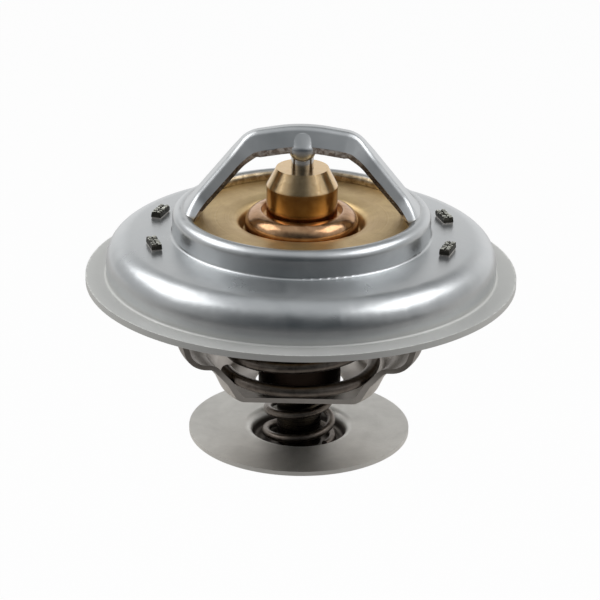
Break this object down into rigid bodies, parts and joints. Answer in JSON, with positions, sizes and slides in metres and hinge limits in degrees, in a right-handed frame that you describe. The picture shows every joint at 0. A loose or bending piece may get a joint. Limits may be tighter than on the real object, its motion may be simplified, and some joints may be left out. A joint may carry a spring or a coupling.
{
  "type": "engine coolant thermostat",
  "caption": "Engine coolant thermostat: flanged domed neck with an arched bridge, wax element, sprung main valve, yoke frame and sprung bypass disc.",
  "frame": {"origin": "on the axis, in the plane of the flange's underside", "axes": "+Z along the axis towards the bridge, +X along the two legs of the bridge"},
  "size_m": [0.067, 0.067, 0.0552],
  "materials": {
    "zinc_steel": "bright zinc plating, satin",
    "bare_steel": "satin, slightly warm",
    "polished_steel": "polished",
    "gold_passivated_steel": "yellow passivated, satin",
    "copper_alloy": "drawn, polished",
    "guide_brass": "turned",
    "white_plastic": "plain",
    "black_rubber": "matt",
    "wax": "waxy",
    "spring_steel": "drawn wire, dark",
    "matt_steel": "matt, fine grained",
    "stem_steel": "turned, dark"
  },
  "bodies": {
    "housing": {"housing_bridge": "zinc_steel", "lower_frame": "bare_steel", "piston": "polished_steel", "main_spring": "spring_steel"},
    "element": {"main_valve_disc": "gold_passivated_steel", "wax_cup": "copper_alloy", "guide_bush": "guide_brass", "anti_chafe_washer": "white_plastic", "rubber_sleeve": "black_rubber", "wax_charge": "wax", "stem": "stem_steel", "retaining_ring": "spring_steel", "bypass_spring": "spring_steel"},
    "bypass_valve": {"bypass_disc": "matt_steel"}
  },
  "joints": [
    {"name": "main_valve_lift", "type": "slide", "parent": "housing", "child": "element", "axis": [0, 0, -1], "range_m": [0, 0.008], "stiffness_N_per_m": 4000, "springref_m": -0.012, "deforming": ["main_spring"]},
    {"name": "bypass_disc_lift", "type": "slide", "parent": "element", "child": "bypass_valve", "axis": [0, 0, 1], "range_m": [0, 0.004], "stiffness_N_per_m": 1500, "springref_m": -0.004, "deforming": ["bypass_spring"]}
  ]
}
